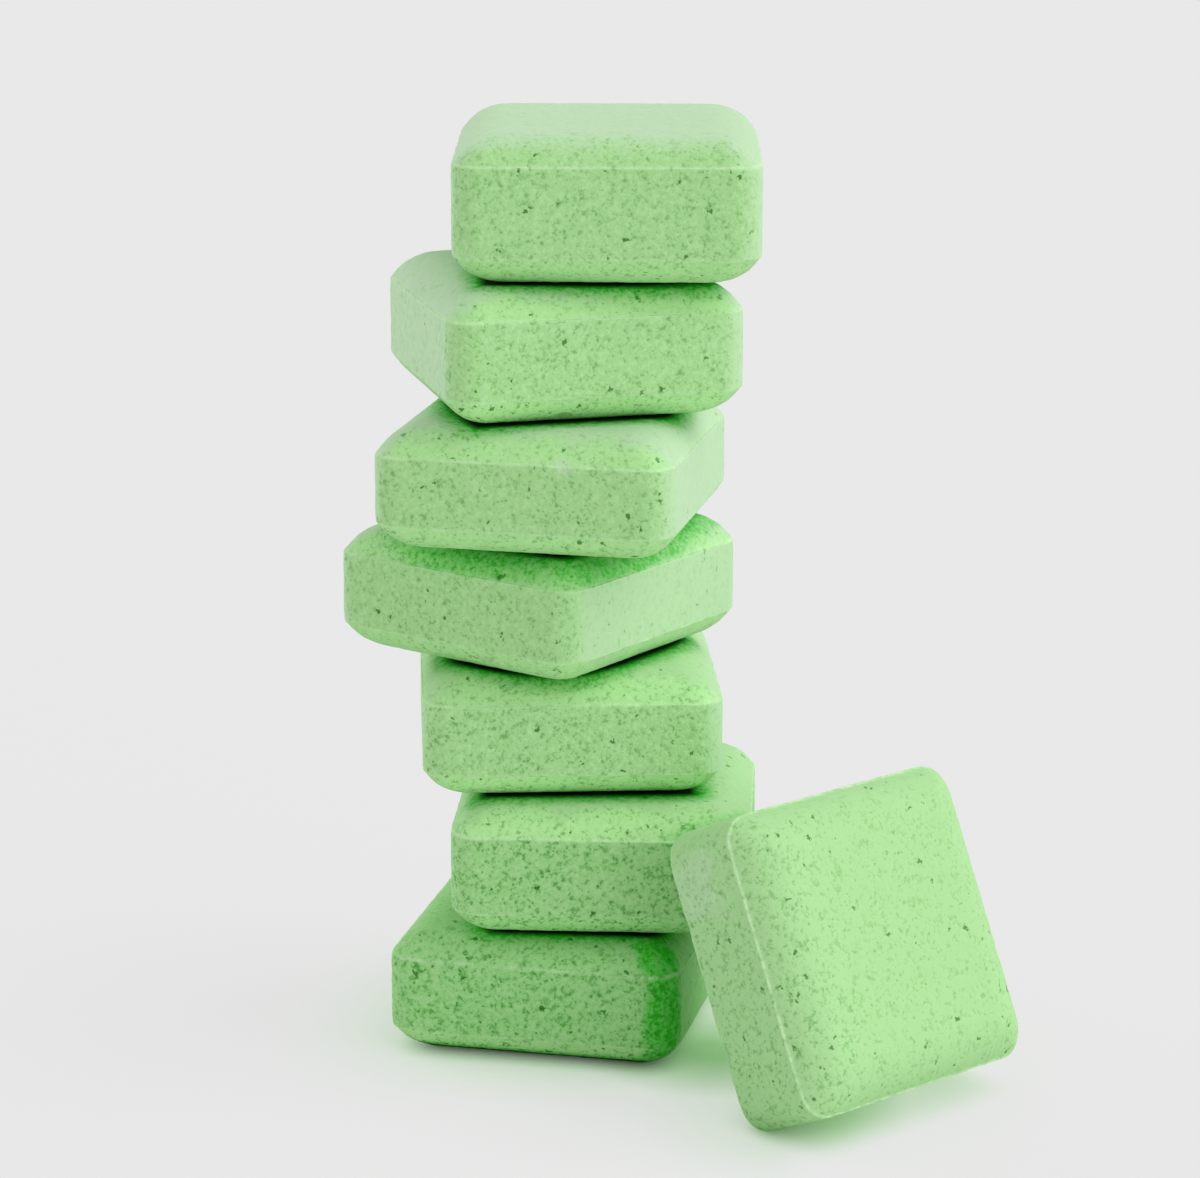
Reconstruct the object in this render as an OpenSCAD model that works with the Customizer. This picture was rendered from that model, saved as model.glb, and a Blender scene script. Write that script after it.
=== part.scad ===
// Pack of pressed shower steamers: seven square tablets stacked by hand, and one that leans on them.
// Each tablet is one solid of pressed powder: a straight side band between two domed faces.
// Millimetres, Z up. The origin is the middle of the bottom tablet's base.

/* [Tablet] */
// Width of every tablet, from side to side
side = 42; // [38:0.5:50]
// Radius of the upright corners of the side band
corner_r = 4.1; // [2.5:0.1:6]
// Width of the domed border, from the side band in to the flat face
border_w = 7; // [6:0.1:9]
// Height of the domed border, from the crease to the flat face
border_h = 4; // [3:0.1:5]
// Width of the ledge that the die leaves along the crease
ledge_w = 0.3; // [0.1:0.1:0.6]

/* [Thickness, from the fill of powder] */
// Thickness of the bottom tablet
bottom_thick = 18.6; // [16:0.1:22]
// Thickness of the second tablet
second_thick = 19.2; // [16:0.1:22]
// Thickness of the third tablet
third_thick = 18.2; // [16:0.1:22]
// Thickness of the fourth tablet
fourth_thick = 18.3; // [16:0.1:22]
// Thickness of the fifth tablet
fifth_thick = 17.6; // [16:0.1:22]
// Thickness of the sixth tablet
sixth_thick = 19; // [16:0.1:22]
// Thickness of the top tablet
top_thick = 20.5; // [16:0.1:22]
// Thickness of the leaning tablet
leaning_thick = 20.6; // [16:0.1:22]

/* [Place to the right of the bottom tablet's middle] */
// Place of the second tablet to the right
second_x = 6.3; // [-12:0.1:12]
// Place of the third tablet to the right
third_x = 0.6; // [-12:0.1:12]
// Place of the fourth tablet to the right
fourth_x = -3.4; // [-12:0.1:12]
// Place of the fifth tablet to the right
fifth_x = -1.3; // [-12:0.1:12]
// Place of the sixth tablet to the right
sixth_x = 0; // [-12:0.1:12]
// Place of the top tablet to the right
top_x = 6.2; // [-12:0.1:12]

/* [Place behind the bottom tablet's middle] */
// Place of the second tablet to the back
second_y = -0.5; // [-12:0.1:12]
// Place of the third tablet to the back
third_y = 3.9; // [-12:0.1:12]
// Place of the fourth tablet to the back
fourth_y = 3; // [-12:0.1:12]
// Place of the fifth tablet to the back
fifth_y = -4.2; // [-12:0.1:12]
// Place of the sixth tablet to the back
sixth_y = 1.5; // [-12:0.1:12]
// Place of the top tablet to the back
top_y = 0.9; // [-12:0.1:12]

/* [Turn, in degrees to the left seen from above] */
// Turn of the bottom tablet
bottom_turn = -12.5; // [-45:0.5:45]
// Turn of the second tablet
second_turn = -3; // [-45:0.5:45]
// Turn of the third tablet
third_turn = 3; // [-45:0.5:45]
// Turn of the fourth tablet
fourth_turn = -36; // [-45:0.5:45]
// Turn of the fifth tablet
fifth_turn = -12.5; // [-45:0.5:45]
// Turn of the sixth tablet
sixth_turn = 15; // [-45:0.5:45]
// Turn of the top tablet
top_turn = -0.5; // [-45:0.5:45]

/* [Leaning tablet] */
// Way that its face looks, in degrees from the front to the right
leaning_turn = 41.5; // [20:0.5:60]
// Angle by which it leans back from upright
leaning_back = 25; // [10:0.5:35]
// Shift along its own width, to the right
leaning_slide = 9.2; // [0:0.1:14]
// Gap left between its back and the stack, so that the rounded edges only just meet
leaning_gap = 0.2; // [0.1:0.05:0.4]

/* [Hidden] */
$fn = 96;

thick = [bottom_thick, second_thick, third_thick, fourth_thick, fifth_thick, sixth_thick, top_thick];
place_x = [0, second_x, third_x, fourth_x, fifth_x, sixth_x, top_x];
place_y = [0, second_y, third_y, fourth_y, fifth_y, sixth_y, top_y];
turn = [bottom_turn, second_turn, third_turn, fourth_turn, fifth_turn, sixth_turn, top_turn];
last = len(thick) - 1;

// The border's arc starts at the ledge's inner edge and ends level with the flat face.
arc_w = border_w - ledge_w;
arc_start = 90 - 2 * atan2(border_h, arc_w);
arc_r = arc_w / cos(arc_start);
flat_half = side / 2 - border_w;
dome_half = side / 2 - ledge_w;
dome_corner_r = corner_r - ledge_w;
corner_at = side / 2 - corner_r;
extra = 1; // how far a cutting shape reaches past what it cuts

powder_green = [0.60, 0.84, 0.54];

// Section of a dome, with the crease at zero: the flat middle and an arc on either side.
module dome_section() {
    translate([-flat_half, 0])
        square([2 * flat_half, border_h]);
    for (way = [0, 1])
        mirror([way, 0])
            intersection() {
                translate([flat_half, border_h - arc_r])
                    circle(arc_r);
                translate([flat_half, 0])
                    square([arc_w + extra, border_h + extra]);
            }
}

// The dome's section drawn out along one side of the tablet.
module dome_bar() {
    rotate([90, 0, 0])
        linear_extrude(2 * side, center = true)
            dome_section();
}

// One upright corner of the dome: the section turned about the corner's own axis.
module dome_corner() {
    translate([corner_at, corner_at, 0])
        rotate_extrude(angle = 90)
            intersection() {
                translate([-corner_at, 0])
                    dome_section();
                square([dome_corner_r + extra, border_h + extra]);
            }
}

// Pressed face: two bars cross in mitred borders, and the four corners are turned round.
module dome() {
    difference() {
        intersection() {
            dome_bar();
            rotate([0, 0, 90])
                dome_bar();
        }
        for (quarter = [0:3])
            rotate([0, 0, 90 * quarter])
                translate([corner_at, corner_at, -extra])
                    cube([side, side, border_h + 2 * extra]);
    }
    for (quarter = [0:3])
        rotate([0, 0, 90 * quarter])
            dome_corner();
}

// Straight side band, a square with round upright corners.
module band(height) {
    translate([0, 0, -height / 2])
        linear_extrude(height)
            union() {
                square([side, 2 * corner_at], center = true);
                square([2 * corner_at, side], center = true);
                for (x = [-corner_at, corner_at], y = [-corner_at, corner_at])
                    translate([x, y])
                        circle(corner_r);
            }
}

// One pressed tablet, with its middle at the origin.
module tablet(thickness) {
    band_h = thickness - 2 * border_h;
    band(band_h);
    for (way = [0, 1])
        mirror([0, 0, way])
            translate([0, 0, band_h / 2])
                dome();
}

// Height of the underside of stacked tablet n: all the tablets below it.
function base_z(n) = n == 0 ? 0 : base_z(n - 1) + thick[n - 1];

// One tablet of the stack, flat on the one below.
module stacked(n) {
    color(powder_green)
        translate([place_x[n], place_y[n], base_z(n) + thick[n] / 2])
            rotate([0, 0, turn[n]])
                tablet(thick[n]);
}

// How far a dome has risen above the crease at an inset from the side.
function rise(inset) =
    inset < ledge_w ? 0 :
    inset > border_w ? border_h :
    sqrt(pow(arc_r, 2) - pow(border_w - inset, 2)) - arc_r + border_h;

// How far the side has drawn in at a height above the middle of a tablet.
function drawn_in(height, thickness) =
    abs(height) <= thickness / 2 - border_h ? 0 :
    border_w - sqrt(max(0, pow(arc_r, 2) - pow(abs(height) - thickness / 2 + arc_r, 2)));

// Reach of a tablet's outline, at an inset, in a direction turned from its side by an angle.
function reach(inset, angle) =
    (side / 2 - max(corner_r, inset)) * (abs(cos(angle)) + abs(sin(angle))) + max(0, corner_r - inset);

// Reach of the stack at a height, from the origin towards the leaning tablet.
function stack_reach(z) = max([
    for (n = [0:last])
        let (height = z - base_z(n) - thick[n] / 2)
            if (abs(height) <= thick[n] / 2)
                place_x[n] * sin(leaning_turn) - place_y[n] * cos(leaning_turn)
                    + reach(drawn_in(height, thick[n]), turn[n] - leaning_turn)
]);

// The leaning tablet's back from its lower to its upper edge: place up the back, and depth.
back_steps = 240;
back_line = [
    for (step = [0:back_steps])
        let (up = side * (step / back_steps - 1 / 2))
            [up, leaning_thick / 2 - border_h + rise(side / 2 - abs(up))]
];

// Its middle is as high as lets its lowest edge stand on the floor.
leaning_z = max([for (p = back_line) p[1] * sin(leaning_back) - p[0] * cos(leaning_back)]);

// Its middle stands as far out as lets its back meet the stack, and then the gap.
leaning_out = leaning_gap + max([
    for (p = back_line)
        p[0] * sin(leaning_back) + p[1] * cos(leaning_back)
            + stack_reach(leaning_z + p[0] * cos(leaning_back) - p[1] * sin(leaning_back))
]);

// The tablet that stands on its lower edge with its back against the stack.
module leaning() {
    color(powder_green)
        rotate([0, 0, leaning_turn])
            translate([leaning_slide, -leaning_out, leaning_z])
                rotate([90 - leaning_back, 0, 0])
                    tablet(leaning_thick);
}

stacked(0);  // bottom_tablet
stacked(1);  // second_tablet
stacked(2);  // third_tablet
stacked(3);  // fourth_tablet
stacked(4);  // fifth_tablet
stacked(5);  // sixth_tablet
stacked(6);  // top_tablet
leaning();  // leaning_tablet
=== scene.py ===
import math
import random

import bmesh
import bpy
import numpy as np
from mathutils import Matrix, Vector
from mathutils import noise as cloud
from mathutils.bvhtree import BVHTree
from mathutils.kdtree import KDTree


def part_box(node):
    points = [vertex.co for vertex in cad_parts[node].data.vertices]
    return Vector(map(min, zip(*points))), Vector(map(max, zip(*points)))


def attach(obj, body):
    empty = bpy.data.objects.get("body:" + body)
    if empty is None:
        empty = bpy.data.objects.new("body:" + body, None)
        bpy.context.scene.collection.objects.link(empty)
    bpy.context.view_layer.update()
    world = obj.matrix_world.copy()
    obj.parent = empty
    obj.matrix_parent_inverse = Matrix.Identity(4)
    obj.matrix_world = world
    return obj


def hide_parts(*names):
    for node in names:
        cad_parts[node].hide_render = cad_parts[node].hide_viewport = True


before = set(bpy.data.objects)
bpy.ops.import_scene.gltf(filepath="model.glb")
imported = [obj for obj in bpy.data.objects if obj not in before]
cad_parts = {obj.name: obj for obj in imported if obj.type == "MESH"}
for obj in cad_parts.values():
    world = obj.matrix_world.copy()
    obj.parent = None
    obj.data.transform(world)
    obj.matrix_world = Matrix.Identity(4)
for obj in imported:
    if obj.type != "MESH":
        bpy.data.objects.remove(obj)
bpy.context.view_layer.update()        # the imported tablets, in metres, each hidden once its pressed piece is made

mm = 0.001

# Camera: it stands 0.56 m before the stack and looks down a little on it.
# Its place, aim and lens come from the outlines of the eight tablets.
camera_data = bpy.data.cameras.new("camera")
camera_data.sensor_width = 36
camera_data.lens = 122.17
camera = bpy.data.objects.new("camera", camera_data)
bpy.context.scene.collection.objects.link(camera)
camera.location = (5.74 * mm, -559.62 * mm, 207.96 * mm)
camera.rotation_euler = [math.radians(a) for a in (75.6114, -0.1166, 0.0815)]
bpy.context.scene.camera = camera

# Floor and light: a plain pale table top that runs back out of sight. Close to the tablets
# it carries painted green shade, the green light they throw, and right of the pack painted
# light lifts its shade. Soft white light comes from all round, and three broad lamps add to it:
# from above on the right, from the front right and, to light the far side, from the back left.
FLOOR_SIZE = 12.0
PALE_GREY = (0.803, 0.803, 0.803, 1)
GREEN_SHADE = (0.36, 0.76, 0.27, 1)
SHADE_REACH = 18 * mm                # a tablet nearer than this shades the floor
RIGHT_START, RIGHT_END = 28 * mm, 48 * mm    # x from and to which painted light lifts the floor's shade, right of the pack
RIGHT_PAINTED_LIGHT = 0.8                     # how strongly the painted light lifts it there
GAP_MIDDLE = (21 * mm, -14 * mm, 0)  # the middle of the painted green shade between the bottom tablet and the leaning one
GAP_IN, GAP_OUT = 3 * mm, 18 * mm    # how far that painted green shade reaches
ROOM_LIGHT = 0.60
LAMP_WIDTH = 50                      # degrees, as seen from the table


def add_node(tree, kind, sockets=(), **settings):
    """A shader node with its settings, and its sockets filled with values or links."""
    made = tree.nodes.new("ShaderNode" + kind)
    for key, value in settings.items():
        setattr(made, key, value)
    for key, value in dict(sockets).items():
        if isinstance(value, bpy.types.NodeSocket):
            tree.links.new(value, made.inputs[key])
        else:
            made.inputs[key].default_value = value
    return made


def new_material(name):
    """A material with its node tree empty but for the output."""
    material = bpy.data.materials.new(name)
    material.use_nodes = True
    tree = material.node_tree
    tree.nodes.clear()
    return material, tree, add_node(tree, "OutputMaterial")


bpy.ops.object.select_all(action="DESELECT")
bpy.ops.mesh.primitive_plane_add(size=FLOOR_SIZE)
floor = bpy.context.object
floor.name = "floor"
material, tree, output = new_material("pale_floor")
place = add_node(tree, "TexCoord").outputs["Object"]
grain = add_node(tree, "TexNoise", {"Vector": place, "Scale": 900})
roughness = add_node(tree, "MapRange", {
    "Value": grain.outputs["Fac"], "To Min": 0.85, "To Max": 0.95})
light_path = add_node(tree, "LightPath")
open_floor = add_node(tree, "AmbientOcclusion", {"Distance": SHADE_REACH}, samples=2)
painted_light_right = add_node(tree, "SeparateXYZ", {"Vector": place})
painted_light_right = add_node(tree, "MapRange", {
    "Value": painted_light_right.outputs["X"], "From Min": RIGHT_START, "From Max": RIGHT_END,
    "To Max": RIGHT_PAINTED_LIGHT})
gap_shade = add_node(tree, "VectorMath", {0: place, 1: GAP_MIDDLE}, operation="DISTANCE")
gap_shade = add_node(tree, "MapRange", {
    "Value": gap_shade.outputs["Value"], "From Min": GAP_IN, "From Max": GAP_OUT, "To Min": 0.3})

# painted green shade: the floor's colour turns green close to the tablets, most between the bottom tablet and the
# leaning one, least right of the pack
shade = add_node(tree, "Math", {
    0: painted_light_right.outputs[0], 1: 0.5, 2: open_floor.outputs["AO"]}, operation="MULTIPLY_ADD")
shade = add_node(tree, "MapRange", {"Value": shade.outputs[0], "From Min": 0.2, "From Max": 0.6})
shade = add_node(tree, "Math", {0: shade.outputs[0], 1: gap_shade.outputs[0]}, operation="MULTIPLY")
seen = add_node(tree, "Mix", {0: shade.outputs[0], 6: GREEN_SHADE, 7: PALE_GREY}, data_type="RGBA")
surface = add_node(tree, "BsdfPrincipled", {
    "Base Color": seen.outputs[2], "Roughness": roughness.outputs[0], "Specular IOR Level": 0.1})

# and the camera sees it partly as a glow of its own colour: the pale backdrop further off, painted green light
# nearer the tablets, and painted light over the shadow right of the pack
backdrop = add_node(tree, "Emission", {"Color": seen.outputs[2], "Strength": 1})
share = add_node(tree, "MapRange", {
    "Value": open_floor.outputs["AO"], "From Min": 0.08, "From Max": 0.42, "To Max": 0.82})
for operation, other in (("MULTIPLY", gap_shade.outputs[0]), ("MAXIMUM", painted_light_right.outputs[0]),
                         ("MULTIPLY", light_path.outputs["Is Camera Ray"])):
    share = add_node(tree, "Math", {0: share.outputs[0], 1: other}, operation=operation)
either = add_node(tree, "MixShader", {
    0: share.outputs[0], 1: surface.outputs[0], 2: backdrop.outputs[0]})
tree.links.new(either.outputs[0], output.inputs["Surface"])
floor.data.materials.append(material)

world = bpy.data.worlds.new("soft_room")
bpy.context.scene.world = world
world.use_nodes = True
tree = world.node_tree
tree.nodes.clear()
light_path = add_node(tree, "LightPath")
seen = add_node(tree, "Math", {
    0: light_path.outputs["Is Camera Ray"], 1: light_path.outputs["Is Transmission Ray"]},
    operation="MAXIMUM")
light = add_node(tree, "Background", {"Color": (1, 1, 1, 1), "Strength": ROOM_LIGHT})
backdrop = add_node(tree, "Background", {"Color": PALE_GREY, "Strength": 1})
either = add_node(tree, "MixShader", {
    0: seen.outputs[0], 1: light.outputs[0], 2: backdrop.outputs[0]})
tree.links.new(either.outputs[0], add_node(tree, "OutputWorld").inputs["Surface"])

# each lamp: name, strength and the way towards it
for name, strength, towards in (
        ("lamp_right", 1.35, (0.64, 0.0, 0.77)),
        ("lamp_front_right", 0.96, (0.7, -0.7, 0.1)),
        ("lamp_back_left", 1.1, (-0.79, 0.55, 0.26))):
    lamp = bpy.data.lights.new(name, "SUN")
    lamp.energy = strength
    lamp.angle = math.radians(LAMP_WIDTH)
    holder = bpy.data.objects.new(name, lamp)
    bpy.context.scene.collection.objects.link(holder)
    holder.rotation_euler = Vector(towards).to_track_quat("Z", "Y").to_euler()
bpy.context.scene.view_settings.view_transform = "Standard"

# Tablet: one block of pressed powder, with a straight side band between two domed faces.
# The press leaves a thin lip of powder along both creases. One is modelled, lying on its
# middle at the origin, and the eight of the pack are copies of it, each worn in its own way.
SIDE = 42 * mm
CORNER_R = 4.1 * mm
CORNER_STEPS = 14
SIDE_CUTS = 85
MODEL_BAND = 11 * mm     # the model's band, which each copy stretches to its own height
BAND_STEP = 0.37 * mm
LAST_STEP = 0.1 * mm     # the band's last step, just below the crease
LEDGE_W = 0.16 * mm      # all of the lip's steps in
LIP = ((0.07 * mm, 0.03 * mm), (0.05 * mm, -0.01 * mm), (0.04 * mm, -0.02 * mm))   # in, up
BORDER_W = 7 * mm
BORDER_H = 4 * mm
ARC_STEPS = 22
ARC_W = BORDER_W - LEDGE_W
ARC_START = math.pi / 2 - 2 * math.atan2(BORDER_H, ARC_W)
ARC_R = ARC_W / math.cos(ARC_START)
CORNER_SHARE = 0.36      # how much of each step in is an even inset, which sharpens the corners
LEVEL = 0.001 * mm       # heights closer than this are the same


def select_by(kind, wanted):
    """Selects in edit mode the verts, edges or faces for which wanted is true."""
    edited = bmesh.from_edit_mesh(bpy.context.edit_object.data)
    bpy.context.tool_settings.mesh_select_mode = [kind == k for k in ("verts", "edges", "faces")]
    edited.select_mode = {kind[:-1].upper()}
    for group in (edited.verts, edited.edges, edited.faces):
        for element in group:
            element.select = False
    for element in getattr(edited, kind):
        if wanted(element):
            element.select = True
    edited.select_flush_mode()
    bmesh.update_edit_mesh(bpy.context.edit_object.data)
    return edited


def step_in(inward, rise, half):
    """One ring of the pressed face: partly an even inset, partly a scale, then a rise."""
    even = inward * CORNER_SHARE
    bpy.ops.mesh.inset(thickness=even, depth=0, use_even_offset=True, use_boundary=True)
    scale = (half - inward) / (half - even)
    bpy.ops.transform.resize(value=(scale, scale, 1), center_override=(0, 0, 0))
    bpy.ops.transform.translate(value=(0, 0, rise))
    return half - inward


def near_crease(vertex, reach):
    """Whether a point lies within reach of the height of either crease."""
    return abs(abs(vertex.co.z) - MODEL_BAND / 2 - 0.2 * mm) < reach


def near_corner(vertex):
    """Whether a point lies where the side turns an upright corner."""
    return min(abs(vertex.co.x), abs(vertex.co.y)) > SIDE / 2 - 1.3 * CORNER_R


def read_points(mesh, what="co"):
    """The places or normals of a mesh's points, one row each."""
    values = np.zeros(len(mesh.vertices) * 3)
    mesh.vertices.foreach_get(what, values)
    return values.reshape(-1, 3)


def read_values(mesh, name):
    """One of a mesh's attributes, one value for each point."""
    values = np.zeros(len(mesh.vertices))
    mesh.attributes[name].data.foreach_get("value", values)
    return values


# the outline with its rounded corners, and the upper half of the band
bpy.ops.object.select_all(action="DESELECT")
bpy.ops.mesh.primitive_plane_add(size=SIDE)
tablet = bpy.context.object
tablet.name = "tablet"
bpy.ops.object.mode_set(mode="EDIT")
bpy.ops.mesh.select_all(action="SELECT")
bpy.ops.mesh.bevel(affect="VERTICES", offset=CORNER_R, segments=CORNER_STEPS, profile=0.5)
select_by("edges", lambda e: e.calc_length() > CORNER_R)
bpy.ops.mesh.subdivide(number_cuts=SIDE_CUTS)
bpy.ops.mesh.select_all(action="SELECT")
rises = [BAND_STEP] * int(MODEL_BAND / 2 / BAND_STEP)
rises += [MODEL_BAND / 2 - sum(rises) - LAST_STEP, LAST_STEP]
for rise in rises:
    bpy.ops.mesh.extrude_region_move(TRANSFORM_OT_translate={"value": (0, 0, rise)})

# the lip, the border's arc and the flat
half = SIDE / 2
for inward, rise in LIP:
    half = step_in(inward, rise, half)
arc = [(ARC_R * math.cos(a), ARC_R * math.sin(a)) for a in
       (ARC_START + (math.pi / 2 - ARC_START) * k / ARC_STEPS for k in range(ARC_STEPS + 1))]
for (x0, z0), (x1, z1) in zip(arc, arc[1:]):
    half = step_in(x0 - x1, z1 - z0, half)
bpy.ops.mesh.delete(type="ONLY_FACE")
face_z = MODEL_BAND / 2 + BORDER_H
edited = select_by("edges", lambda e: min(v.co.z for v in e.verts) > face_z - LEVEL)
corner = max((v for v in edited.verts if v.co.z > face_z - LEVEL), key=lambda v: v.co.x + v.co.y)
edited.select_history.clear()
edited.select_history.add(corner)
bpy.ops.mesh.fill_grid(span=CORNER_STEPS + SIDE_CUTS + 1)

# the lower half is the upper one mirrored, without the face between them
select_by("faces", lambda f: len(f.verts) > 4)
bpy.ops.mesh.delete(type="ONLY_FACE")
bpy.ops.object.mode_set(mode="OBJECT")
mirror = tablet.modifiers.new("other_half", "MIRROR")
mirror.use_axis = (False, False, True)
mirror.merge_threshold = 0.01 * mm
bpy.ops.object.modifier_apply(modifier=mirror.name)
bpy.ops.object.mode_set(mode="EDIT")
bpy.ops.mesh.select_all(action="SELECT")
bpy.ops.mesh.normals_make_consistent(inside=False)

# the creases are worn round, most of all where they turn the corners
select_by("verts", lambda v: near_crease(v, 0.5 * mm))
bpy.ops.mesh.vertices_smooth(factor=0.5, repeat=2)
select_by("verts", lambda v: near_crease(v, 1.4 * mm) and near_corner(v))
bpy.ops.mesh.vertices_smooth(factor=0.5, repeat=6)
bpy.ops.object.mode_set(mode="OBJECT")
bpy.ops.object.shade_smooth()

# where the pressed lip is: 1 along both creases, 0 elsewhere
heights = read_points(tablet.data)[:, 2]
from_crease = np.abs(np.abs(heights) - MODEL_BAND / 2 - 0.03 * mm)
on_lip = np.clip(1.3 - from_crease / (0.26 * mm), 0, 1)
tablet.data.attributes.new("lip", "FLOAT", "POINT").data.foreach_set("value", on_lip)
for name, weights in (("lip", on_lip), ("open", 1 - 0.55 * on_lip)):
    group = tablet.vertex_groups.new(name=name)
    for weight in np.unique(weights.round(2)):
        if weight > 0:
            group.add(np.flatnonzero(weights.round(2) == weight).tolist(), float(weight), "REPLACE")

# Powder: pale green salt and soda, pressed dry. Its grain is a close mottle of darker grains,
# light ones and open pores; the dark of the pits and pores is partly painted shade in them. The
# group gives what changes over the surface: the moulding line, how open the grain is, how much painted sheen and
# dry smudge lie on it, how much painted shade and how much painted light.
MARKS = ("Lip", "Grain", "Sheen_and_dust", "Painted_shade", "Painted_light")
MID_GREEN = (0.385, 0.69, 0.288, 1)
PAINTED_LIGHT_GREEN = (0.475, 0.86, 0.35, 1)
DARK_GRAIN = (0.045, 0.255, 0.022, 1)
PORE_GREEN = (0.01, 0.13, 0.005, 1)
LIGHT_GRAIN = (0.58, 0.86, 0.48, 1)
SHEEN_AND_DUST_GREEN = (0.51, 0.695, 0.47, 1)
DEEP_SHADE_GREEN = (0.02, 0.53, 0.012, 1)
SEAM_SHADOW = (0.001, 0.015, 0.0005, 1)
powder = bpy.data.node_groups.new("pressed_powder", "ShaderNodeTree")
powder.interface.new_socket("Vector", in_out="INPUT", socket_type="NodeSocketVector")
for name in MARKS:
    powder.interface.new_socket(name, in_out="INPUT", socket_type="NodeSocketFloat")
for name, kind in (("Color", "Color"), ("Roughness", "Float"), ("Height", "Float")):
    powder.interface.new_socket(name, in_out="OUTPUT", socket_type="NodeSocket" + kind)
ins = powder.nodes.new("NodeGroupInput").outputs
outs = powder.nodes.new("NodeGroupOutput").inputs


def noise(scale, detail, rough, seed):
    """Cloudy noise from 0 to 1, with its scale for each mm and its own place by the seed."""
    shifted = add_node(powder, "VectorMath", {
        0: ins["Vector"], 1: (seed, seed * 2, -seed)}, operation="ADD")
    return add_node(powder, "TexNoise", {
        "Vector": shifted.outputs[0], "Scale": scale, "Detail": detail,
        "Roughness": rough}).outputs["Fac"]


def ramp(value, low, high, bottom=0.0, top=1.0):
    """The value mapped from low and high to bottom and top, and kept between these."""
    return add_node(powder, "MapRange", {
        "Value": value, "From Min": low, "From Max": high,
        "To Min": bottom, "To Max": top}).outputs[0]


def calc(operation, a, b):
    """One sum with two values."""
    return add_node(powder, "Math", {0: a, 1: b}, operation=operation).outputs[0]


def blend(share, a, b):
    """Colour a, turned to colour b where share is 1."""
    return add_node(powder, "Mix", {0: share, 6: a, 7: b}, data_type="RGBA").outputs[2]


def pores(scale, size, share, seed):
    """Dark grains or pores, in a share of the cells, each of its own size and uneven outline."""
    shifted = add_node(powder, "VectorMath", {
        0: ins["Vector"], 1: (seed, -seed, seed * 3)}, operation="ADD")
    cells = add_node(powder, "TexVoronoi", {"Vector": shifted.outputs[0], "Scale": scale})
    chance = add_node(powder, "SeparateColor", {0: cells.outputs["Color"]})
    width = calc("MULTIPLY", calc("POWER", ramp(chance.outputs[0], 1 - share, 1), 0.4), size)
    width = calc("ADD", width, calc("MULTIPLY", calc("SUBTRACT", mottle, 0.5), 1.4))
    return ramp(calc("SUBTRACT", width, cells.outputs["Distance"]), 0, size * 0.5)


# the mottle: three sizes of cloud, each with its share
mottle = calc("ADD", calc("MULTIPLY", noise(1.45, 1, 0.5, 7), 0.5),
              calc("MULTIPLY", noise(0.65, 1, 0.5, 19), 0.32))
mottle = calc("ADD", mottle, calc("MULTIPLY", noise(3.3, 0, 0.5, 31), 0.18))

# the grains and pores: under painted shade, dark grains show more and light ones less
dark = calc("MULTIPLY", ins["Grain"], ramp(ins["Painted_shade"], 0, 0.6, 1, 1.6))
dark_grains = ramp(calc("ADD", mottle, calc("MULTIPLY", ins["Painted_shade"], 0.03)), 0.53, 0.63)
dark_grains = calc("MULTIPLY", dark_grains, dark)
light_grains = calc("SUBTRACT", ins["Grain"], calc("MULTIPLY", ins["Painted_shade"], 3))
light_grains = calc("MULTIPLY", ramp(mottle, 0.475, 0.38), calc("MAXIMUM", light_grains, 0))
# the dark of the pits and pores is partly their own colour and partly painted shade in them
pits = calc("MULTIPLY", pores(1.8, 0.38, 0.66, 13), 0.85)
pits = calc("MAXIMUM", pores(1.0, 0.34, 0.6, 5), pits)
pits = calc("MULTIPLY", pits, dark)
open_pores = calc("MULTIPLY", pores(0.42, 0.12, 0.6, 9), calc("SUBTRACT", 1, ins["Sheen_and_dust"]))

# the painted shade's edge follows the mottle
broken_edge = ramp(ins["Painted_shade"], 0.27, 0.45, 0, 0.06)
broken_edge = calc("ADD", ramp(ins["Painted_shade"], 0, 0.27, 0, 0.06), broken_edge)
mottled_shade = calc("ADD", ins["Painted_shade"], calc("MULTIPLY", ramp(mottle, 0.4, 0.6, -1, 1), broken_edge))
broken = ramp(noise(0.7, 2, 0.7, 23), 0.34, 0.62)
# mid green, paler under painted sheen and dry smudges, brighter under painted light on the borders
colour = blend(ins["Painted_light"], blend(ins["Sheen_and_dust"], MID_GREEN, SHEEN_AND_DUST_GREEN), PAINTED_LIGHT_GREEN)
# over it: deep green painted shade, light grains, dark grains, pits and pores partly painted shade, the pale lip,
# and the near-black painted shadow of the seams
for share, covered_by in (
        (ramp(mottled_shade, 0.15, 0.72), DEEP_SHADE_GREEN),
        (calc("MULTIPLY", light_grains, 0.35), LIGHT_GRAIN),
        (calc("MULTIPLY", dark_grains, 0.31), DARK_GRAIN),
        (calc("MULTIPLY", pits, 0.38), DARK_GRAIN),
        (calc("MULTIPLY", open_pores, 0.75), PORE_GREEN),
        (calc("MULTIPLY", calc("MULTIPLY", ins["Lip"], broken), 0.85), LIGHT_GRAIN),
        (ramp(ins["Painted_shade"], 0.64, 0.84), SEAM_SHADOW)):
    colour = blend(share, colour, covered_by)
powder.links.new(colour, outs["Color"])
powder.links.new(ramp(mottle, 0.4, 0.6, 0.68, 0.85), outs["Roughness"])
powder.links.new(calc("MULTIPLY", ramp(mottle, 0.65, 0.35), ins["Grain"]), outs["Height"])

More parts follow.
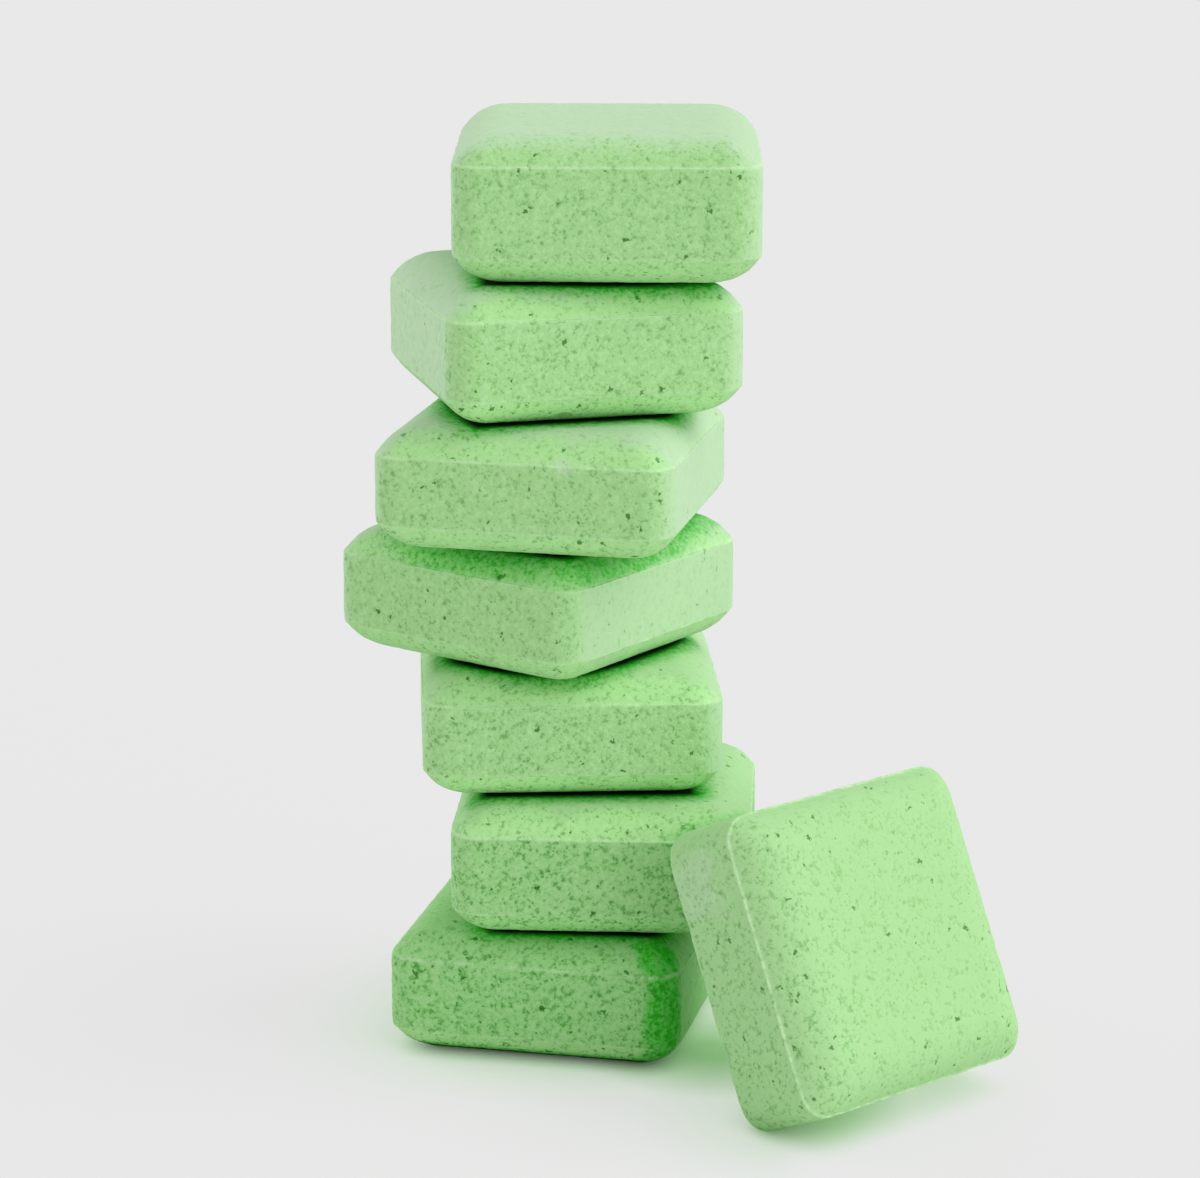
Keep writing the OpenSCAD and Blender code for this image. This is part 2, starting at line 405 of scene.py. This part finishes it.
powder_material, tree, output = new_material("pressed_powder")
where = add_node(tree, "Mapping", {
    "Vector": add_node(tree, "TexCoord").outputs["Object"],
    "Scale": (1000, 1000, 1000), "Rotation": (0.6, 0.4, 0.9)})
look = tree.nodes.new("ShaderNodeGroup")
look.node_tree = powder
tree.links.new(where.outputs[0], look.inputs["Vector"])
for name in MARKS:
    mark = add_node(tree, "Attribute", attribute_name=name.lower())
    tree.links.new(mark.outputs["Fac"], look.inputs[name])
relief = add_node(tree, "Bump", {
    "Height": look.outputs["Height"], "Strength": 0.6, "Distance": 0.12 * mm})
surface = add_node(tree, "BsdfPrincipled", {
    "Base Color": look.outputs["Color"], "Roughness": look.outputs["Roughness"],
    "Normal": relief.outputs[0], "IOR": 1.48, "Specular IOR Level": 0.15})
tree.links.new(surface.outputs[0], output.inputs["Surface"])

# The pack: seven tablets piled by hand, and one that leans on them with its face to the right.
# Each is the pressed tablet with its own band, pores and unevenness, and lies where its solid
# lies. Painted shade darkens it near its neighbours, and it is rubbed smooth on top, left and right, where a
# painted sheen makes it paler.

# For each tablet: thickness in mm and turn in degrees, how open its grain is, how much painted
# shade its sides and its top carry, how much painted light its upper and its lower border, how
# much painted sheen its rubbed sides, and its larger pores as x, y, z in its own frame, in mm.
PACK = {
    "bottom_tablet": dict(
        thickness=18.6, turn=-12.5, openness=1.2, painted_shade_side=0.265, painted_shade_top=0.24,
        painted_light_top=0.1, painted_light_low=1, painted_sheen=0.1, pores=(
            (-5.5, -19.7, 6.7), (9.6, -21, 3.8), (6.6, -21, -3.6), (9.6, -19.7, 6.7),
            (-10.1, -21, -4.5), (15, -21, 2), (-10.9, -21, 4.8), (11, -21, -2.5),
            (-11.5, -19.7, 6.7), (14.9, -21, 0.5), (-9, -21, 3.3), (-1.6, -21, -3.8),
            (-2.6, -21, 1.5), (-3.7, -20.2, 6))),
    "second_tablet": dict(
        thickness=19.2, turn=-3, openness=1.2, painted_shade_side=0.22, painted_shade_top=0.02,
        painted_light_top=0.7, painted_light_low=0.8, painted_sheen=0.25, pores=(
            (-16.3, -21, -3), (-9.3, -21, -0.7), (3.9, -21, -3), (0.8, -21, -1.5),
            (-0.3, -21, 4.2), (1.8, -21, -4.7), (-6, -21, -0.9), (-9.2, -21, 4.1),
            (-13.2, -20.3, -6.3), (-15.6, -19.9, -6.8), (6.8, -21, -0.4), (-15, -19.6, 7.1),
            (-11.3, -20.3, 6.2), (-4, -18.8, 7.9))),
    "third_tablet": dict(
        thickness=18.2, turn=3, openness=1.0, painted_shade_side=0, painted_shade_top=0,
        painted_light_top=0.5, painted_light_low=1, painted_sheen=0.3, pores=(
            (8.5, -21, 1.8), (-6.7, -21, -1), (11.2, -21, 2.5), (1.5, -21, -1.7),
            (-3.8, -21, -3.9), (0.5, -21, -4.1), (-9.7, -19.1, 7.2), (16.7, -21, 1.1),
            (4.6, -20.3, 5.7), (-8.2, -21, 3.1), (11.9, -20.5, 5.4))),
    "fourth_tablet": dict(
        thickness=18.3, turn=-36, openness=0.85, painted_shade_side=0, painted_shade_top=0,
        painted_light_top=0.7, painted_light_low=0.6, painted_sheen=0.7, pores=(
            (-6.7, -21, -2.9), (18.9, -16.2, 7.3), (20.6, -18.7, 4.3), (7.8, -21, 0.8),
            (15.5, -21, -1.9), (11.8, -18.1, 7.9), (-17.1, -21, -1.3), (17.4, -21, 1.9))),
    "fifth_tablet": dict(
        thickness=17.6, turn=-12.5, openness=0.88, painted_shade_side=0, painted_shade_top=0,
        painted_light_top=0.55, painted_light_low=0.6, painted_sheen=0.85, pores=(
            (-11.1, -21, 0.4), (-2.5, -21, 2.6), (-0.6, -19.9, 5.9), (-17.8, 5.2, 7.8),
            (11.1, -18.2, 7.5), (-12.6, -20.1, 5.8), (19, -20.4, 3.7), (13.6, -21, 0.1),
            (9.3, -16.1, 8.5), (4.9, -21, -0.2), (-12.6, -16.3, 8.4))),
    "sixth_tablet": dict(
        thickness=19, turn=15, openness=0.88, painted_shade_side=0, painted_shade_top=0,
        painted_light_top=0.5, painted_light_low=0.8, painted_sheen=0.85, pores=(
            (-14.2, -21, -2.3), (6.2, -21, 2.6), (-5.2, -20.5, -5.9), (8.4, -21, 0.7),
            (-11.8, -21, -0.2), (3.9, -21, 2), (2.1, -21, -4.5), (9.3, -21, 2.6),
            (12.8, -21, 3.1), (-5.3, -21, 3.4))),
    "top_tablet": dict(
        thickness=20.5, turn=-0.5, openness=0.88, painted_shade_side=0, painted_shade_top=0,
        painted_light_top=0, painted_light_low=0.3, painted_sheen=0.85, pores=(
            (5.1, -21, 1.2), (-20.2, -19.3, -2.5), (-14, -21, -3), (-16.4, -21, -1.6),
            (11.4, -21, 2.3), (-1.4, -21, 5.6), (-12.6, -21, 2.5), (-14.9, -19.5, 7.9))),
    "leaning_tablet": dict(
        thickness=20.6, turn=41.5, openness=0.7, painted_shade_side=0.15, painted_shade_top=0.15,
        painted_light_top=0, painted_light_low=0, painted_sheen=0.2, pores=(
            (-18.7, -4, 8.7), (-11, 12.6, 10.3), (-6, -16.5, 9.9), (-17.7, 9.2, 9.3),
            (6.3, -8.1, 10.3), (-5, 11, 10.3), (6.7, 17.7, 9.4), (-21, -7.5, -2),
            (-21, 5.5, -1.6), (-20.5, -3.1, 6.6), (15.2, 6.2, 10.2), (12.6, -2, 10.3),
            (9.6, 9.6, 10.3), (-16.5, -6.4, 9.9))),
}
LEANS_BACK = 25          # degrees, the leaning tablet from upright
# dents in mm: the middle in the tablet's own frame, size and depth
DENTS = {
    "leaning_tablet": (((-20.6, -9.4, -7.6), 2.4, 0.8), ((-19.5, 8, -9.2), 3, 0.25),
                       ((-20, 0, -8.8), 2, 0.3)),
    "fifth_tablet": (((-17.6, 4.2, 8), 1.8, 0.5),),
    "sixth_tablet": (((-4.6, -17.6, -8.3), 1.5, 0.4),),
    "second_tablet": (((-12, -19.5, -7.4), 1.6, 0.3),),
}
# smudges of dry powder: the middle and the size in mm, and how strong
SMUDGES = {
    "fifth_tablet": (((6.4, -20.6, 5.1), 1.4, 1),),
    "sixth_tablet": (((-6.3, -16.1, -9.2), 1.2, 1.2),),
    "leaning_tablet": (((-21, 13.8, -2), 6.5, 0.5), ((-21, 5.5, -9), 2.6, 0.5),
                       ((-20.8, -2, -9.4), 2.2, 0.5)),
}
# unevenness: name, size of its waves, detail and depth
WAVES = (("settling", 8 * mm, 1, 0.07 * mm), ("granules", 1.6 * mm, 2, 0.13 * mm),
         ("salt", 0.7 * mm, 1, 0.07 * mm), ("torn_lip", 2.4 * mm, 1, 0.24 * mm))
# pits: mark, radius and depth
PITS = {"large": (1, 0.17 * mm, 0.3 * mm), "fine": (0.5, 0.11 * mm, 0.18 * mm)}
FINE_PITS = 240          # on each tablet
PIT_LIMIT = 27 * mm      # no fine pit lies further out, near an edge
# how far the painted shade spreads from a neighbour, and how strong it is
PAINTED_SHADE_REACH = (3.4 * mm, 0.8)
WIDE_PAINTED_SHADE = {
    ("fourth_tablet", "fifth_tablet"): (7.5 * mm, 1.05),
    ("second_tablet", "leaning_tablet"): (9 * mm, 1.05),
}
SEAM_REACH = 3.2 * mm    # the painted shadow of the seam where two tablets touch
PAINTED_SHADE_LIMIT = 0.63        # painted shade above this is the seam's painted shadow
SHADOW_CORNER_X, SHADOW_CORNER_Y = 18 * mm, -19.4 * mm    # where the bottom tablet's painted shade, under the leaning tablet's shadow, is darkest
FOOT_SHADE = 1.6 * mm      # the painted contact shade from the floor rises to one and a half times this height
WORN_LIP = 0.75          # the lip of the piled tablets, against that of the leaning one


def mark_pits(mesh, points, large, rng):
    """Marks the points where pits open: the nearest to each large one, and fine ones anywhere."""
    nearest = KDTree(len(points))
    for index, point in enumerate(points):
        nearest.insert(point, index)
    nearest.balance()
    lip = read_values(mesh, "lip")
    free = [i for i in range(len(points)) if lip[i] < 0.1
            and math.hypot(*sorted(abs(points[i]))[1:]) < PIT_LIMIT]
    chosen = {}
    for pore in large:
        chosen[nearest.find(Vector(pore) * mm)[1]] = "large"
    for index in rng.sample(free, FINE_PITS):
        chosen.setdefault(index, "fine")
    mark = mesh.attributes.new("pit", "FLOAT", "POINT")
    for index, kind in chosen.items():
        mark.data[index].value = PITS[kind][0]


def open_pits(mesh):
    """Cuts each marked point to a small ring of faces and pushes its middle in."""
    bpy.ops.object.mode_set(mode="EDIT")
    for value, radius, deep in PITS.values():
        edited = bmesh.from_edit_mesh(mesh)
        layer = edited.verts.layers.float["pit"]
        select_by("verts", lambda v: v[layer] == value and len(v.link_edges) == 4)
        bpy.ops.mesh.bevel(affect="VERTICES", offset=radius, segments=2, profile=0.6)
        select_by("faces", lambda f: len(f.verts) == 8)
        bpy.ops.mesh.inset(thickness=radius * 0.25, depth=-deep, use_individual=True)
        bpy.ops.mesh.poke()
    bpy.ops.object.mode_set(mode="OBJECT")


def roughen(piece, away):
    """Waves the surface. The die sets how far out each point may stand, so it only goes in."""
    piece.data.transform(away)       # the waves are read from a place of the piece's own
    flat = read_points(piece.data)
    facing = read_points(piece.data, "normal")
    for name, texture, strength in textures:
        wave = piece.modifiers.new(name, "DISPLACE")
        wave.texture = texture
        wave.texture_coords = "LOCAL"
        wave.mid_level = 0.62
        wave.strength = strength
        wave.vertex_group = "lip" if name == "torn_lip" else "open"
        bpy.ops.object.modifier_apply(modifier=wave.name)
    piece.vertex_groups.clear()
    bumpy = read_points(piece.data)
    out = np.sum((bumpy - flat) * facing, axis=1)
    bumpy -= np.maximum(out, 0)[:, None] * facing
    piece.data.vertices.foreach_set("co", bumpy.ravel())
    piece.data.transform(away.inverted())


def closeness(points, middle, size):
    """1 at the middle, given in mm, and 0 at size from it."""
    return 1 - np.linalg.norm(points - np.array(middle) * mm, axis=1) / (size * mm)


textures = []
for name, size, detail, strength in WAVES:
    texture = bpy.data.textures.new(name, "CLOUDS")
    texture.noise_scale = size
    texture.noise_depth = detail
    textures.append((name, texture, strength))

shells = {}
for node in PACK:
    solid = bmesh.new()
    solid.from_mesh(bpy.data.objects[node].data)
    shells[node] = BVHTree.FromBMesh(solid)
    solid.free()

for number, (node, own_values) in enumerate(PACK.items()):
    bpy.ops.object.select_all(action="DESELECT")
    piece = tablet.copy()
    piece.data = tablet.data.copy()
    piece.name = node.replace("_tablet", "_pressed_tablet")
    bpy.context.scene.collection.objects.link(piece)
    bpy.context.view_layer.objects.active = piece
    piece.select_set(True)

    # its own band, pits and unevenness
    band = own_values["thickness"] * mm - 2 * BORDER_H
    points = read_points(piece.data)
    z = points[:, 2]
    in_band = np.abs(z) < MODEL_BAND / 2 + LEVEL
    moved = z + np.sign(z) * (band - MODEL_BAND) / 2
    points[:, 2] = np.where(in_band, z * band / MODEL_BAND, moved)
    piece.data.vertices.foreach_set("co", points.ravel())
    piece.data.update()
    mark_pits(piece.data, points, own_values["pores"], random.Random(400 + number))
    open_pits(piece.data)
    roughen(piece, Matrix.Translation((0.2 * number, 0.1, 0.05 * number))
            @ Matrix.Rotation(0.7, 4, (1, 2, 3)))
    own = read_points(piece.data)
    inward = -read_points(piece.data, "normal")
    for middle, size, deep in DENTS.get(node, ()):
        dent = np.clip(closeness(own, middle, size) * 1.6, 0, 1)
        own += inward * (deep * mm * dent)[:, None]
    piece.data.vertices.foreach_set("co", own.ravel())

    # its place is its solid's
    low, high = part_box(node)
    place = Matrix.Translation((low + high) / 2)
    place = place @ Matrix.Rotation(math.radians(own_values["turn"]), 4, "Z")
    if node == "leaning_tablet":
        place = place @ Matrix.Rotation(math.radians(90 - LEANS_BACK), 4, "X")
    piece.data.transform(place)
    piece.data.update()

    # which way each point faces, with an uneven edge
    corners = read_points(piece.data)
    facing = read_points(piece.data, "normal")
    uneven = np.array([cloud.fractal(Vector(corner) / (5 * mm), 1, 2, 3) for corner in corners])
    sideways = np.abs(facing[:, 1]) - 0.2 + 0.2 * uneven
    open_side = np.clip(sideways / 0.6, 0, 1)
    open_side = open_side * open_side * (3 - 2 * open_side)
    upward = np.clip(facing[:, 2] * 1.6, 0, 1)
    beneath = np.clip(-facing[:, 2] * 1.6, 0, 1)
    downward = np.clip(-facing[:, 2] * 2, 0, 1)
    rightward = np.clip((facing[:, 0] - 0.25) / 0.6, 0, 1)

    # the grain is more open on the front and back sides, and rubbed smooth on the rest, where a painted sheen makes
    # it paler, and the piled ones paler on the right, where the light falls
    grain = own_values["openness"] * (0.24 + 0.76 * np.clip(sideways / 0.35, 0, 1))
    sheen_and_dust_mark = own_values["painted_sheen"] * (1 - open_side) * (1 - downward)
    if node == "leaning_tablet":
        grain *= np.clip(0.4 - own[:, 0] / (30 * mm), 0.6, 1.15)
        sheen_and_dust_mark = np.maximum(sheen_and_dust_mark, 0.12)
    else:
        grain *= (1 - 0.2 * upward) * (1 - 0.75 * rightward)
        sheen_and_dust_mark = np.maximum(sheen_and_dust_mark, 0.6 * (1 - 3 * own_values["painted_shade_side"]) * rightward)
    # painted light: the upper and lower borders of the front and back sides are brighter
    painted_light = (own_values["painted_light_top"] * upward + own_values["painted_light_low"] * beneath) * open_side

    # the lowest one carries painted shade: from the floor up, most of all at its front corner on the right, in the
    # leaning tablet's shadow, and on its right side
    painted_shade = own_values["painted_shade_side"] + (own_values["painted_shade_top"] - own_values["painted_shade_side"]) * upward
    if node == "bottom_tablet":
        painted_shade *= 1 - 0.8 * beneath
        on_dome = np.maximum(np.abs(own[:, 2]) - 5.3 * mm, 0)
        corner_gap = np.hypot(np.maximum(SHADOW_CORNER_X - 0.8 * on_dome - own[:, 0], 0),
                              np.maximum(own[:, 1] - SHADOW_CORNER_Y - 1.8 * on_dome, 0))
        painted_shade = np.maximum(painted_shade, 0.75 - 0.6 * corner_gap / (2.6 * mm) + 0.3 * uneven)
        painted_shade = np.maximum(painted_shade, 0.28 * np.clip(facing[:, 0] * 2 - 0.8, 0, 1))
        painted_shade = np.clip(painted_shade, 0, PAINTED_SHADE_LIMIT)
        painted_shade = np.maximum(painted_shade, 1.5 - corners[:, 2] / FOOT_SHADE)

    # it carries deep green painted shade where another tablet lies on it or stands before it, and near black
    # painted shadow in the seam where they touch
    for other, shell in shells.items():
        if other == node:
            continue
        reach, strongest = WIDE_PAINTED_SHADE.get((node, other), PAINTED_SHADE_REACH)
        near, far = (np.array(c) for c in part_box(other))
        close_by = np.all((corners > near - reach) & (corners < far + reach), axis=1)
        for index in np.flatnonzero(close_by):
            touch, _, _, gap = shell.find_nearest(Vector(corners[index]), reach)
            if touch is not None:
                away = Vector(corners[index]) - touch
                towards = away.dot(Vector(facing[index])) / -max(gap, 1e-6)
                near_shade = min(PAINTED_SHADE_LIMIT, strongest * (1 - gap / reach) ** 0.8)
                seam = 1 - gap / SEAM_REACH
                share = (seam if seam > PAINTED_SHADE_LIMIT else near_shade) * max(0, towards) ** 0.5
                painted_shade[index] = max(painted_shade[index], share * (1 - 0.7 * downward[index]))
    # smudges of dry powder: paler, and without painted shade
    for middle, size, strength in SMUDGES.get(node, ()):
        smudge = np.clip((closeness(own, middle, size) + 0.5 * uneven) * 2, 0, 1)
        sheen_and_dust_mark = np.maximum(sheen_and_dust_mark, strength * smudge)
        painted_shade *= 1 - smudge

    if node != "leaning_tablet":
        lip = piece.data.attributes["lip"].data
        lip.foreach_set("value", WORN_LIP * read_values(piece.data, "lip"))
    for name, values in (("grain", grain), ("sheen_and_dust", sheen_and_dust_mark), ("painted_shade", painted_shade), ("painted_light", painted_light)):
        piece.data.attributes.new(name, "FLOAT", "POINT").data.foreach_set("value", values)
    piece.data.materials.append(powder_material)
    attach(piece, "root")
    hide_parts(node)
bpy.data.objects.remove(tablet)
